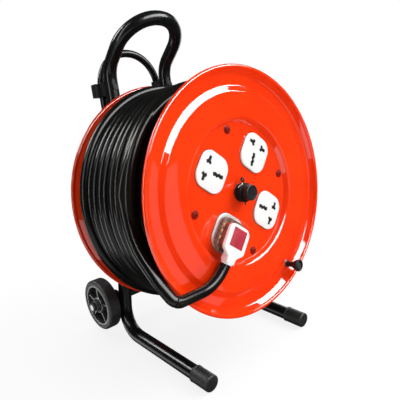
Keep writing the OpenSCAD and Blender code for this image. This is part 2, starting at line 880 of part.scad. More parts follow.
frame_tube();
foot_caps();
axle_plate();
plate_bolts();
plate_nuts();
drum_axle();
axle_nut();
rear_spacer();
thrust_washers();
hub_collar();
hub_cap();
split_pin();
bow_guides();
guide_bolts();
axle_brackets();
axle_tube();
wheel_axle();
wheel_washers();
wheel_nuts();
wheel_left();
tyre_left();
wheel_right();
tyre_right();
bow_tube();
bow_stops();
front_flange();
rear_flange();
barrel();
tie_bolts();
tie_nuts();
drum_bushes();
socket_faces();
socket_bodies();
socket_contacts();
link_wires();
terminal_block();
inlet_cable();
cable_grommet();
cable_pack();
cable_tail();
knob_spindle();
knob_washer();
knob_nut();
winding_knob();
plug_base();
plug_cover();
plug_label();
plug_pins();
plug_fuse();
plug_sleeve();
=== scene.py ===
"""Looks for the extension cord reel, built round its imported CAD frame.

Lengths of the reel's own pieces are in millimetres. Relief, floor and lights are in metres.
"""

import json
import math

import bmesh
import bpy
from mathutils import Matrix, Vector, noise
from mathutils.geometry import tessellate_polygon


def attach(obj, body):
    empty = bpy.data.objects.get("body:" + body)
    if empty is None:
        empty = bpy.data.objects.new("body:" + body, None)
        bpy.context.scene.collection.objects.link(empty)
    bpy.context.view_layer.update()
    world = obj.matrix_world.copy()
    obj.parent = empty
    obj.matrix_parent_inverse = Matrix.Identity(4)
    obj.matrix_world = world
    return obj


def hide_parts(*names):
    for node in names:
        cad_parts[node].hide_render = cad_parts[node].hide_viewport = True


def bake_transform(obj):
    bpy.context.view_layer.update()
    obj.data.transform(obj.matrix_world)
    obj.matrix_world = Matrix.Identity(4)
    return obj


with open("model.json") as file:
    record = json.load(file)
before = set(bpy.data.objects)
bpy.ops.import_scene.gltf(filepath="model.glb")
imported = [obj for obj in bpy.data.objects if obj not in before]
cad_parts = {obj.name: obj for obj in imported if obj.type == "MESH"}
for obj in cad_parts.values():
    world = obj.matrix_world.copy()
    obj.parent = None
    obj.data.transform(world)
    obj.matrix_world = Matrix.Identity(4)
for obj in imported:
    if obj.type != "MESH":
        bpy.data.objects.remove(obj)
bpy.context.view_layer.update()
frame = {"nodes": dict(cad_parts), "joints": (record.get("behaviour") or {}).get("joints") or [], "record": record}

MM = 0.001

# ---- The CAD part's own sizes ----
LEAN = math.radians(7.5)
SPIN = next(j for j in frame["joints"] if j["name"] == "drum_spin")
AXLE = Vector(SPIN["pos_m"]) / MM
FORWARD = Vector((0, -math.cos(LEAN), math.sin(LEAN)))
UPWARD = Vector((0, math.sin(LEAN), math.cos(LEAN)))

FLANGE_R = 180
BEAD_R = 3
SHEET = 1.2
RIM_Z = 92.5
DISC_Z = 80.5
STEP_Z = 88.5
EDGE_Z = 84.5
TIE_R = 93
TIE_TURN = 7
CABLE_R = 7.5
STRAND_R = CABLE_R - 0.1
PACK_R = 170
PACK_HALF = 79
BARREL_R = 101
SOCKET_R = 65
SOCKET_TURN = 53
FACE_W = 54
FACE_T = 3
PLUG_SOCKET = 2
PLUG_Z = 83.9
LID_Z = 96.9
LID_TOP = 106.0
NECK_Z = 98.4
TUBE_R = 11
BOW_R = 6.5
FOOT_HALF = 110
HANDLE_HALF = 57
UPRIGHT_BACK = 125
FOOT_REACH = 115
CAP_R = 12.5
CAP_LEN = 35
CAP_END = 3
KNOB_R = 160
KNOB_ANGLE = -58.4
KNOB_Z = 85.5
WHEEL_R = 43.5
WHEEL_W = 22
WHEEL_IN = 121
WHEEL_BACK = 128
WHEEL_H = 55
TYRE_T = 7.5
HUB_R = 14.5
HUB_PROUD = 4


def axes_matrix(origin, x, y, z):
    """Matrix from local millimetres to the row frame in metres."""
    rows = [[x[i], y[i], z[i], origin[i]] for i in range(3)]
    return Matrix.Scale(MM, 4) @ Matrix(rows + [[0, 0, 0, 1]])


DRUM = axes_matrix(AXLE, Vector((1, 0, 0)), UPWARD, FORWARD)
REAR = DRUM @ Matrix.Diagonal((1, 1, -1, 1))
ROW = Matrix.Scale(MM, 4)


def turned(degrees, radius=0.0):
    return Matrix.Rotation(math.radians(degrees), 4, "Z") @ Matrix.Translation((radius, 0, 0))


def polar(radius, degrees, z):
    a = math.radians(degrees)
    return Vector((radius * math.cos(a), radius * math.sin(a), z))


# ---- Materials ----

RELIEF = 0.0002
COAT_ROUGH = 0.035


class Surface:
    """A Principled material with noise in its colour, its roughness and its relief."""

    def __init__(self, name, colour, rough=0.4, metal=0.0, coat=0.0, alpha=1.0, shine=0.5):
        self.material = bpy.data.materials.new(name)
        self.material.use_nodes = True
        self.tree = self.material.node_tree
        self.nodes = self.tree.nodes
        self.shader = self.nodes["Principled BSDF"]
        self.colour = colour
        self.set("Base Color", (*colour, 1))
        self.set("Roughness", rough)
        self.set("Metallic", metal)
        self.set("Coat Weight", coat)
        self.set("Coat Roughness", COAT_ROUGH)
        self.set("Specular IOR Level", shine)
        self.set("Alpha", alpha)
        self.material.diffuse_color = (*colour, alpha)
        place = self.nodes.new("ShaderNodeTexCoord")
        self.place = place.outputs["Object"]

    def set(self, name, value):
        self.shader.inputs[name].default_value = value
        return self

    def noise(self, scale, detail=3.0, rough=0.5):
        node = self.nodes.new("ShaderNodeTexNoise")
        node.inputs["Scale"].default_value = scale
        node.inputs["Detail"].default_value = detail
        node.inputs["Roughness"].default_value = rough
        self.tree.links.new(self.place, node.inputs["Vector"])
        return node.outputs["Fac"]

    def ramp(self, source, low, high, low_at=0.35, high_at=0.65):
        node = self.nodes.new("ShaderNodeValToRGB")
        node.color_ramp.elements[0].position = low_at
        node.color_ramp.elements[1].position = high_at
        node.color_ramp.elements[0].color = (*low, 1)
        node.color_ramp.elements[1].color = (*high, 1)
        self.tree.links.new(source, node.inputs["Fac"])
        return node.outputs["Color"]

    def mottle(self, scale, other, low_at=0.35, high_at=0.65):
        """Base colour drifting between the main colour and another."""
        colour = self.ramp(self.noise(scale), self.colour, other, low_at, high_at)
        self.tree.links.new(colour, self.shader.inputs["Base Color"])
        return self

    def patchy(self, scale, low, high):
        """Roughness drifting between two values."""
        node = self.nodes.new("ShaderNodeMapRange")
        node.inputs["To Min"].default_value = low
        node.inputs["To Max"].default_value = high
        self.tree.links.new(self.noise(scale, 4.0, 0.6), node.inputs["Value"])
        self.tree.links.new(node.outputs["Result"], self.shader.inputs["Roughness"])
        return self

    def grain(self, scale, strength):
        """Fine relief."""
        bump = self.nodes.new("ShaderNodeBump")
        bump.inputs["Strength"].default_value = strength
        bump.inputs["Distance"].default_value = RELIEF
        self.tree.links.new(self.noise(scale, 2.0, 0.5), bump.inputs["Height"])
        self.tree.links.new(bump.outputs["Normal"], self.shader.inputs["Normal"])
        if self.shader.inputs["Coat Weight"].default_value > 0:
            self.tree.links.new(bump.outputs["Normal"], self.shader.inputs["Coat Normal"])
        return self


ORANGE = (1.0, 0.047, 0.004)
LOOKS = {
    "orange": Surface("orange_paint", ORANGE, 0.5, coat=1.0, shine=0.0)
    .mottle(14, (0.92, 0.038, 0.003)).patchy(30, 0.4, 0.56).grain(260, 0.035),
    # Darker copy of the orange paint: painted shade for the rear flange, whose ring lies in shade behind the
    # winding.
    "deep_orange": Surface("orange_with_painted_shade_paint", (0.56, 0.026, 0.002), 0.5, coat=0.8, shine=0.0)
    .mottle(14, (0.5, 0.021, 0.002)).patchy(30, 0.4, 0.56).grain(260, 0.035),
    "screw_paint": Surface("screw_paint", (0.3, 0.01, 0.003), 0.4, shine=0.05)
    .mottle(160, (0.22, 0.008, 0.003)).patchy(200, 0.34, 0.48).grain(900, 0.2),
    "black_paint": Surface("black_paint", (0.004, 0.0045, 0.005), 0.24, coat=0.07, shine=0.14)
    .mottle(20, (0.007, 0.0075, 0.008)).patchy(45, 0.18, 0.3).grain(600, 0.06),
    "black_plastic": Surface("black_plastic", (0.005, 0.005, 0.005), 0.34, shine=0.2)
    .mottle(60, (0.011, 0.011, 0.011)).patchy(90, 0.28, 0.42).grain(1800, 0.2),
    "wheel_plastic": Surface("wheel_plastic", (0.02, 0.02, 0.021), 0.34, shine=0.5)
    .mottle(80, (0.042, 0.042, 0.042)).patchy(90, 0.26, 0.42).grain(1500, 0.2),
    # Dull black plastic for the hub base; on the wheel webs it is also painted shade, darker than the wheels' own
    # plastic.
    "dull_plastic": Surface("dull_black_plastic_and_painted_shade", (0.004, 0.004, 0.004), 0.6, shine=0.1)
    .mottle(80, (0.009, 0.009, 0.009)).patchy(90, 0.5, 0.7).grain(1500, 0.3),
    "rubber": Surface("rubber", (0.007, 0.007, 0.007), 0.5, shine=0.25)
    .mottle(70, (0.014, 0.014, 0.013)).patchy(120, 0.42, 0.6).grain(1600, 0.35),
    "tyre": Surface("tyre_rubber", (0.01, 0.01, 0.0105), 0.5, shine=0.35)
    .mottle(50, (0.026, 0.026, 0.026), 0.45, 0.75).patchy(80, 0.45, 0.62).grain(1200, 0.4),
    "cable": Surface("cable_sheath", (0.003, 0.003, 0.003), 0.24, shine=0.14)
    .mottle(9, (0.01, 0.009, 0.0065), 0.5, 0.7).patchy(40, 0.18, 0.3).grain(500, 0.15),
    "steel": Surface("plated_steel", (0.34, 0.34, 0.35), 0.3, metal=1.0)
    .mottle(90, (0.22, 0.22, 0.23)).patchy(200, 0.2, 0.42).grain(900, 0.15),
    "bright": Surface("bright_wire", (0.8, 0.8, 0.8), 0.25, metal=0.6)
    .mottle(200, (0.6, 0.6, 0.6)).patchy(300, 0.2, 0.35).grain(900, 0.1),
    "dark_steel": Surface("blackened_steel", (0.02, 0.018, 0.018), 0.4, shine=0.3)
    .mottle(200, (0.035, 0.03, 0.03)).patchy(300, 0.35, 0.5).grain(900, 0.15),
    "brass": Surface("stamped_brass", (0.72, 0.5, 0.2), 0.3, metal=1.0)
    .mottle(120, (0.5, 0.32, 0.12)).patchy(200, 0.22, 0.42).grain(900, 0.15),
    "copper": Surface("wire_copper", (0.75, 0.36, 0.2), 0.35, metal=1.0)
    .mottle(120, (0.5, 0.22, 0.12)).patchy(200, 0.25, 0.45).grain(900, 0.15),
    "white_body": Surface("white_body", (0.78, 0.77, 0.74), 0.45)
    .mottle(50, (0.7, 0.69, 0.66)).patchy(80, 0.4, 0.55).grain(900, 0.15),
    "white_gloss": Surface("white_gloss", (0.9, 0.9, 0.89), 0.22, coat=0.3)
    .mottle(40, (0.86, 0.86, 0.85)).patchy(60, 0.18, 0.28).grain(700, 0.05),
    # Near-black filler: painted shade in the socket slots, under the edge of each socket face and in the screw
    # heads' cross recesses.
    "painted_shade_filler": Surface("slot_painted_shade_filler", (0.006, 0.004, 0.003), 0.6, shine=0.1)
    .mottle(300, (0.05, 0.014, 0.008), 0.55, 0.75).patchy(300, 0.5, 0.65).grain(900, 0.2),
    "clear": Surface("clear_shell", (0.5, 0.4, 0.35), 0.12, coat=0.7, alpha=0.1)
    .mottle(120, (0.34, 0.25, 0.2)).patchy(150, 0.08, 0.2).grain(500, 0.2),
    "label": Surface("crimson_label", (0.56, 0.018, 0.045), 0.32, coat=0.4)
    .mottle(160, (0.45, 0.012, 0.035)).patchy(200, 0.26, 0.4).grain(900, 0.1),
    "carrier": Surface("olive_carrier", (0.07, 0.045, 0.026), 0.35)
    .mottle(220, (0.24, 0.12, 0.06), 0.45, 0.6).patchy(200, 0.25, 0.5).grain(900, 0.2),
    "brown": Surface("brown_heart", (0.3, 0.035, 0.02), 0.4)
    .mottle(160, (0.12, 0.035, 0.016), 0.45, 0.6).patchy(200, 0.35, 0.5).grain(900, 0.2),
    "wire_brown": Surface("wire_brown", (0.13, 0.035, 0.012), 0.35)
    .mottle(200, (0.18, 0.05, 0.02)).patchy(200, 0.3, 0.42).grain(900, 0.1),
    "wire_blue": Surface("wire_blue", (0.02, 0.07, 0.32), 0.35)
    .mottle(200, (0.03, 0.1, 0.4)).patchy(200, 0.3, 0.42).grain(900, 0.1),
    "wire_green": Surface("wire_green", (0.12, 0.3, 0.03), 0.35)
    .mottle(350, (0.6, 0.55, 0.05), 0.49, 0.51).patchy(200, 0.3, 0.42).grain(900, 0.1),
}


def look(name):
    return LOOKS[name].material


# ---- Mesh helpers ----

SMOOTH = math.radians(38)


def build(name, verts, faces, matrix, finish, body=None, nodes=(), slot=None):
    """One closed mesh piece from local millimetres, with its finish, on its body."""
    mesh = bpy.data.meshes.new(name)
    mesh.from_pydata([matrix @ Vector(v) for v in verts], [], faces)
    tidy = bmesh.new()
    tidy.from_mesh(mesh)
    bmesh.ops.remove_doubles(tidy, verts=tidy.verts, dist=1e-7)
    bmesh.ops.recalc_face_normals(tidy, faces=tidy.faces)
    tidy.to_mesh(mesh)
    tidy.free()
    mesh.shade_smooth()
    mesh.set_sharp_from_angle(angle=SMOOTH)
    mesh.materials.append(look(finish))
    piece = bpy.data.objects.new(name, mesh)
    bpy.context.scene.collection.objects.link(piece)
    if body:
        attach(piece, body)
    if nodes:
        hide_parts(*nodes)
    return piece


def merge(*parts):
    """Several (verts, faces) as one, each already in the same local frame."""
    verts, faces = [], []
    for part_verts, part_faces in parts:
        base = len(verts)
        verts += [tuple(v) for v in part_verts]
        faces += [[i + base for i in f] for f in part_faces]
    return verts, faces


def placed(part, matrix):
    return [matrix @ Vector(v) for v in part[0]], part[1]


def fillet(points, radii, steps=6, closed=True):
    """A 2D outline with each corner rounded by its own radius."""
    out = []
    count = len(points)
    for i, p in enumerate(points):
        radius = radii[i] if isinstance(radii, (list, tuple)) else radii
        if radius <= 0 or (not closed and i in (0, count - 1)):
            out.append(Vector(p))
            continue
        here = Vector(p)
        before = (Vector(points[i - 1]) - here).normalized()
        after = (Vector(points[(i + 1) % count]) - here).normalized()
        angle = before.angle(after)
        cut = radius / math.tan(angle / 2)
        middle = here + (before + after).normalized() * (radius / math.sin(angle / 2))
        start = here + before * cut - middle
        stop = here + after * cut - middle
        sweep_angle = start.angle_signed(stop)
        for k in range(steps + 1):
            a = -sweep_angle * k / steps
            c, s = math.cos(a), math.sin(a)
            out.append(middle + Vector((c * start.x - s * start.y, s * start.x + c * start.y)))
    return out


def lathe(profile, segments=96):
    """Turns a closed (radius, z) profile about z. Points on the axis become single poles."""
    verts, rings, faces = [], [], []
    for r, z in profile:
        if r < 1e-6:
            rings.append([len(verts)])
            verts.append((0, 0, z))
            continue
        rings.append(list(range(len(verts), len(verts) + segments)))
        for k in range(segments):
            a = 2 * math.pi * k / segments
            verts.append((r * math.cos(a), r * math.sin(a), z))
    count = len(rings)
    for i in range(count):
        a, b = rings[i], rings[(i + 1) % count]
        if len(a) == 1 and len(b) == 1:
            continue
        for k in range(segments):
            n = (k + 1) % segments
            if len(a) == 1:
                faces.append([a[0], b[k], b[n]])
            elif len(b) == 1:
                faces.append([a[k], b[0], a[n]])
            else:
                faces.append([a[k], b[k], b[n], a[n]])
    return verts, faces


def sweep(points, radius, sides=20, soft=0.8):
    """Round bar along a line of points, with softened ends."""
    points = [Vector(p) for p in points]
    count = len(points)
    tangents = []
    for i in range(count):
        ahead = points[min(i + 1, count - 1)]
        behind = points[max(i - 1, 0)]
        tangents.append((ahead - behind).normalized())
    side = tangents[0].orthogonal().normalized()
    verts, faces = [], []

    def ring(centre, tangent, r):
        other = tangent.cross(side)
        for k in range(sides):
            a = 2 * math.pi * k / sides
            verts.append(centre + side * (r * math.cos(a)) + other * (r * math.sin(a)))

    ring(points[0], tangents[0], radius - soft)
    ring(points[0] + tangents[0] * soft * 0.3, tangents[0], radius - soft * 0.3)
    for i in range(count):
        side = (side - tangents[i] * side.dot(tangents[i])).normalized()
        spot = points[i]
        if i == 0:
            spot = spot + tangents[0] * soft
        if i == count - 1:
            spot = spot - tangents[-1] * soft
        ring(spot, tangents[i], radius)
    ring(points[-1] - tangents[-1] * soft * 0.3, tangents[-1], radius - soft * 0.3)
    ring(points[-1], tangents[-1], radius - soft)
    rings = count + 4
    for i in range(rings - 1):
        for k in range(sides):
            n = (k + 1) % sides
            faces.append([i * sides + k, i * sides + n, (i + 1) * sides + n, (i + 1) * sides + k])
    faces.append(list(range(sides))[::-1])
    faces.append([(rings - 1) * sides + k for k in range(sides)])
    return verts, faces


def bent(corners, radii, step=math.radians(4), reach=12.0):
    """Centre line along corners, with an arc at each inner corner."""
    corners = [Vector(c) for c in corners]
    out = [corners[0]]

    def straight(to):
        run = (to - out[-1]).length
        parts = max(1, int(run / reach))
        start = out[-1]
        for k in range(1, parts + 1):
            out.append(start.lerp(to, k / parts))

    for i in range(1, len(corners) - 1):
        d_in = (corners[i] - corners[i - 1]).normalized()
        d_out = (corners[i + 1] - corners[i]).normalized()
        turn = d_in.angle(d_out)
        cut = radii[i] * math.tan(turn / 2)
        straight(corners[i] - d_in * cut)
        inward = (d_out - d_in * d_in.dot(d_out)).normalized()
        middle = corners[i] - d_in * cut + inward * radii[i]
        parts = max(2, int(turn / step))
        for k in range(1, parts + 1):
            a = turn * k / parts
            out.append(middle - inward * (radii[i] * math.cos(a)) + d_in * (radii[i] * math.sin(a)))
    straight(corners[-1])
    return out


def slab(outline, z0, z1, soft=0.8, holes=(), steps=3, soft_low=0.0):
    """Plate from an outline, its upper edge rounded by soft, with straight-walled holes."""
    outline = [Vector(p[:2]) for p in outline]
    if sum(a.x * b.y - b.x * a.y for a, b in zip(outline, outline[1:] + outline[:1])) < 0:
        outline.reverse()
    count = len(outline)

    def inset(distance):
        out = []
        for i, p in enumerate(outline):
            before = (p - outline[i - 1]).normalized()
            after = (outline[(i + 1) % count] - p).normalized()
            normal = (Vector((-before.y, before.x)) + Vector((-after.y, after.x))).normalized()
            scale = max(0.5, normal.dot(Vector((-after.y, after.x))))
            out.append(p + normal * (distance / scale))
        return out

    levels = []
    for k in range(steps + 1):
        if not soft_low:
            break
        a = math.pi / 2 * k / steps
        levels.append((soft_low * (1 - math.sin(a)), z0 + soft_low * (1 - math.cos(a))))
    if not soft_low:
        levels.append((0, z0))
    for k in range(steps + 1):
        a = math.pi / 2 * k / steps
        levels.append((soft * (1 - math.cos(a)), z1 - soft * (1 - math.sin(a))))
    verts, faces = [], []
    for distance, z in levels:
        for p in inset(distance) if distance else outline:
            verts.append(Vector((p.x, p.y, z)))
    for i in range(len(levels) - 1):
        for k in range(count):
            n = (k + 1) % count
            faces.append([i * count + k, i * count + n, (i + 1) * count + n, (i + 1) * count + k])
    hole_rings = []
    for hole in holes:
        low = list(range(len(verts), len(verts) + len(hole)))
        verts += [Vector((p[0], p[1], z0)) for p in hole]
        high = list(range(len(verts), len(verts) + len(hole)))
        verts += [Vector((p[0], p[1], z1)) for p in hole]
        hole_rings.append((low, high))
        for k in range(len(hole)):
            n = (k + 1) % len(hole)
            faces.append([low[k], high[k], high[n], low[n]])
    top = list(range((len(levels) - 1) * count, len(levels) * count))
    bottom = list(range(count))
    for rim, side in ((bottom, 0), (top, 1)):
        loops = [rim] + [pair[side] for pair in hole_rings]
        flat = [i for loop in loops for i in loop]
        if len(loops) == 1:
            faces.append(rim)
            continue
        for tri in tessellate_polygon([[verts[i] for i in loop] for loop in loops]):
            faces.append([flat[i] for i in tri])
    return verts, faces


def rounded_square(width, height, corner, steps=8, centre=(0, 0)):
    x, y = width / 2, height / 2
    cx, cy = centre
    return fillet([(cx + x, cy + y), (cx - x, cy + y), (cx - x, cy - y), (cx + x, cy - y)], corner, steps)


def bar_piece(name, points, radius, finish, body, nodes=(), matrix=ROW, sides=20, soft=0.8, slot=None):
    verts, faces = sweep(points, radius, sides, soft)
    return build(name, verts, faces, matrix, finish, body, nodes, slot)


# ---- Frame ----

def leaning(x, up, back):
    """A point of the leaning frame: x across, up along the uprights, back from the middle of the drum."""
    return AXLE + Vector((x, 0, 0)) + UPWARD * up - FORWARD * back


def main_tube_line():
    """Corners and bend radii of the frame tube, from the right foot over the loop to the left foot."""
    ankle_bend, knee_bend, neck_bend = 45, 120, 40
    knee_up, neck_up, neck_run = 135, 196, 23
    loop_lean = math.radians(51)
    ankle_up = (TUBE_R - AXLE.z + UPRIGHT_BACK * math.sin(LEAN)) / math.cos(LEAN)
    ankle = leaning(FOOT_HALF, ankle_up, UPRIGHT_BACK)
    knee = leaning(HANDLE_HALF, knee_up, UPRIGHT_BACK)
    turn = (knee - ankle).angle(Vector((0, 1, 0)))
    tip_y = AXLE.y - FOOT_REACH
    flat = ankle.y - ankle_bend * math.tan(turn / 2) - tip_y - CAP_LEN
    slope = math.atan((CAP_R - TUBE_R) / flat)
    tip_z = CAP_R * math.cos(slope) + CAP_LEN * math.sin(slope)
    heel_z = tip_z - (ankle.y - tip_y) * math.tan(slope)
    cut = neck_bend * math.tan(loop_lean / 2)
    run = cut + neck_run + HANDLE_HALF
    grip_up = neck_up + cut + run * math.cos(loop_lean)
    grip_back = UPRIGHT_BACK - run * math.sin(loop_lean)
    half = [
        Vector((FOOT_HALF, tip_y, tip_z)),
        Vector((FOOT_HALF, ankle.y, heel_z)),
        knee,
        leaning(HANDLE_HALF, neck_up + cut, UPRIGHT_BACK),
        leaning(HANDLE_HALF, grip_up, grip_back),
    ]
    other = [Vector((-p.x, p.y, p.z)) for p in reversed(half)]
    radii = [0, ankle_bend, knee_bend, neck_bend, HANDLE_HALF - 1]
    return half + other, radii + radii[::-1]


corners, radii = main_tube_line()
FOOT_TIP, FOOT_HEEL = corners[0], corners[1]
bar_piece("frame_skin", bent(corners, radii), TUBE_R, "black_paint", "frame", ["frame_tube"], sides=32)

BOW_HALF = 59
BOW_BACK = 154
BOW_LOW = -140
BOW_TOP = 187 + BOW_HALF
bow_corners = [leaning(side * BOW_HALF, up, BOW_BACK)
               for side, up in ((1, BOW_LOW), (1, BOW_TOP), (-1, BOW_TOP), (-1, BOW_LOW))]
bar_piece("bow_skin", bent(bow_corners, [0, BOW_HALF - 1, BOW_HALF - 1, 0]), BOW_R, "black_paint", "bow",
          ["bow_tube"], sides=24)



def foot_caps():
    out = (FOOT_TIP - FOOT_HEEL).normalized()
    profile = fillet([(0, 0), (CAP_R, 0), (CAP_R, CAP_LEN), (TUBE_R, CAP_LEN),
                      (TUBE_R, CAP_END), (0, CAP_END)], [0, 2.2, 1.2, 0.3, 0, 0])
    shell = lathe(profile, 48)
    rib = lathe([(CAP_R - 0.2, CAP_LEN - 4), (CAP_R + 0.35, CAP_LEN - 3.4), (CAP_R + 0.35, CAP_LEN - 1.6),
                 (CAP_R - 0.2, CAP_LEN - 1)], 48)
    side = out.orthogonal().normalized()
    tip = FOOT_TIP + out * CAP_END
    parts = []
    for x in (tip.x, -tip.x):
        origin = (x, tip.y, tip.z)
        rows = [[side[i], -out.cross(side)[i], -out[i], origin[i]] for i in range(3)]
        m = Matrix(rows + [[0, 0, 0, 1]])
        parts += [placed(shell, m), placed(rib, m)]
    verts, faces = merge(*parts)
    build("foot_boots", verts, faces, ROW, "rubber", "frame", ["foot_caps"])


foot_caps()

# ---- Drum flanges ----

def flange_profile():
    """Closed outline of the pressed sheet, its front side first, with the rolled rim at the outside."""
    front = [(11, DISC_Z), (100.9, DISC_Z), (106.5, STEP_Z), (144, STEP_Z), (152, EDGE_Z), (168, EDGE_Z),
             (174.3, 91.3)]
    back = [(11, DISC_Z - SHEET), (101.7, DISC_Z - SHEET), (107.3, STEP_Z - SHEET), (143.5, STEP_Z - SHEET),
            (151.5, EDGE_Z - SHEET), (168.6, EDGE_Z - SHEET), (174.9, 90.3)]
    turns = [0, 0.8, 8.5, 4, 5, 8, 0]
    top = fillet(front, turns, 7, closed=False)
    low = fillet(back, turns, 7, closed=False)
    centre = Vector((FLANGE_R - BEAD_R, RIM_Z))
    bead = []
    for k in range(25):
        a = math.radians(206 - k * (206 + 132) / 24)
        bead.append(centre + Vector((math.cos(a), math.sin(a))) * BEAD_R)
    return top + bead + low[::-1]


FLANGE = lathe(flange_profile(), 192)
build("front_flange_skin", *FLANGE, DRUM, "orange", "drum", ["front_flange"], "orange_paint")
# Painted shade: the rear flange gets the darker copy of the front orange, on both of its faces.
build("rear_flange_skin", *FLANGE, REAR, "deep_orange", "drum", ["rear_flange"], "orange_paint")


def tie_screws():
    """Pan-head screws through both flanges, with a washer under each head and a near-black cross on it as painted
    shade of a cross recess.
    """
    head = lathe(fillet([(0, 0.8), (4.6, 0.8), (4.6, 1.4), (3.0, 3.0), (0, 3.2)],
                        [0, 0.2, 1.2, 1.0, 0], 5, closed=False), 40)
    washer = lathe([(2.6, 0), (6.2, 0), (6.2, 0.6), (5.9, 0.8), (2.6, 0.8)], 40)
    end = -2 * DISC_Z - 5
    shank = lathe([(0, end), (2.2, end), (2.5, -2 * DISC_Z - 4.6), (2.5, 0.9), (0, 0.9)], 24)
    parts = []
    for i in range(4):
        m = turned(TIE_TURN + 90 * i, TIE_R) @ Matrix.Translation((0, 0, DISC_Z))
        parts += [placed(p, m) for p in (head, washer, shank)]
    verts, faces = merge(*parts)
    build("tie_screws", verts, faces, DRUM, "screw_paint", "drum", ["tie_bolts"], "orange_paint")
    # No recess is cut: a near-black cross on each head is painted shade.
    cross = []
    for i in range(4):
        for turn in (20, 110):
            m = turned(TIE_TURN + 90 * i, TIE_R) @ Matrix.Translation((0, 0, DISC_Z + 2.4)) @ turned(turn)
            cross.append(placed(slab(rounded_square(5.0, 1.1, 0.3, 2), 0, 0.95, 0.1), m))
    verts, faces = merge(*cross)
    build("tie_screw_recess_painted_shade", verts, faces, DRUM, "painted_shade_filler", "drum", slot="orange_paint")


tie_screws()

# ---- Cable ----

TURN_PITCH = 15.4
UNEVEN_R = 1.4
UNEVEN_Z = 3.4
NOISE_DEG = 57.3
HELIX_STEP = 4.0


def wobble(angle, seed, size):
    """Slow unevenness along the winding, the same on every run."""
    return size * noise.noise(Vector((angle * 0.55, seed, 0.5)))


def helix(radius, z_from, z_to, start_deg, sense, seed, rough=1.0):
    """Slightly uneven turns at the winding's pitch, from one height on the drum to another."""
    turns = abs(z_to - z_from) / TURN_PITCH
    count = int(turns * 360 / HELIX_STEP)
    out = []
    for k in range(count + 1):
        share = k / count
        a = start_deg + sense * share * turns * 360
        z = z_from + (z_to - z_from) * share
        in_out = wobble(a / NOISE_DEG, seed, UNEVEN_R * rough)
        sideways = wobble(a / NOISE_DEG, seed + 9, UNEVEN_Z * rough)
        out.append(polar(radius + in_out, a, z + sideways))
    return out


def winding():
    """The outer layer, the turns piled against the rear flange, the layer under them and a plain core."""
    back = -PACK_HALF
    under_r = PACK_R - 21
    layer_1 = sweep(helix(PACK_R - 7.0, back + 5.5, 51, 330, 1, 1.0), STRAND_R, 18)
    rim_turn = sweep(helix(PACK_R + 0.8, back + 2.4, back + 19, 325, 1, 7.0, rough=0.4), STRAND_R, 18)
    layer_2 = sweep(helix(under_r - 0.5, back + 16, 66, 20, -1, 4.0, rough=0.5), STRAND_R, 14)
    core = lathe([(BARREL_R, back), (under_r - 1, back), (under_r, back + 1),
                  (under_r, PACK_HALF - 1), (under_r - 1, PACK_HALF), (BARREL_R, PACK_HALF)], 120)
    verts, faces = merge(layer_1, rim_turn, layer_2, core)
    build("cable_winding", verts, faces, DRUM, "cable", "drum", ["cable_pack"])


winding()


def smooth_line(points, parts=8):
    """Catmull-Rom line through the points."""
    points = [Vector(p) for p in points]
    padded = [points[0] * 2 - points[1]] + points + [points[-1] * 2 - points[-2]]
    out = []
    for i in range(1, len(padded) - 2):
        p0, p1, p2, p3 = padded[i - 1:i + 3]
        for k in range(parts):
            t = k / parts
            out.append(0.5 * (2 * p1 + (p2 - p0) * t + (2 * p0 - 5 * p1 + 4 * p2 - p3) * t * t
                              + (3 * p1 - p0 - 3 * p2 + p3) * t ** 3))
    out.append(points[-1])
    return out


def free_end():
    """The cable from the plug over the front rim and on round the drum. The part by the plug is left on no body;
    the rest is on the drum.
    """
    plug_angle = SOCKET_TURN + 90 * PLUG_SOCKET
    over = FLANGE_R + CABLE_R + 1.5
    tail_r = PACK_R + CABLE_R + 0.3
    crossing = 212
    landing = 170
    landing_z = RIM_Z - 48
    corners = [
        polar(SOCKET_R + 38, plug_angle, NECK_Z),
        polar(SOCKET_R + 76, plug_angle - 1.5, NECK_Z - 1),
        polar(over + 5, crossing, RIM_Z + CABLE_R + 7),
        polar(over, crossing - 7.5, RIM_Z - 4),
        polar(tail_r + 5.5, crossing - 22.5, RIM_Z - 34),
        polar(tail_r, landing, landing_z),
    ]
    line = bent(corners, [0, 58, 13, 40, 120, 0], math.radians(6), 6)
    lead_turn = 100
    lead_steps = 24
    sunk_r = PACK_R - 8.4
    lead = [line[-1]]
    for k in range(1, lead_steps + 1):
        share = k / lead_steps
        radius = tail_r - (tail_r - sunk_r) * min(1, share * 1.6)
        lead.append(polar(radius, landing - lead_turn * share, landing_z + 14 * share))
    line += smooth_line(lead, 3)[1:]
    split = min(range(len(line)), key=lambda k: (line[k] - corners[2]).length)
    piece = bar_piece("cable_free_end", line[:split + 1], CABLE_R, "cable", None, ["cable_tail"], DRUM, 24)
    bar_piece("cable_lead", line[split:], CABLE_R, "cable", "drum", matrix=DRUM, sides=24)
    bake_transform(piece)


def loose_turns():
    """Two slack half turns that rise out of the winding beside the free end and sink back into it."""
    steps = 48
    loose = []
    for shift, lift, seed in ((0, 3.5, 2.0), (13, 1.2, 6.0)):
        line = []
        for k in range(steps + 1):
            share = k / steps
            swell = math.sin(math.pi * share) ** 2
            radius = PACK_R - CABLE_R + (CABLE_R + lift) * swell + wobble(share * 6, seed, 0.8)
            line.append(polar(radius, 250 - 170 * share, 41 - shift + 12 * swell))
        loose.append(sweep(line, CABLE_R - 0.2, 18))
    verts, faces = merge(*loose)
    build("cable_loose_turns", verts, faces, DRUM, "cable", "drum")


free_end()
loose_turns()

# ---- Hub ----

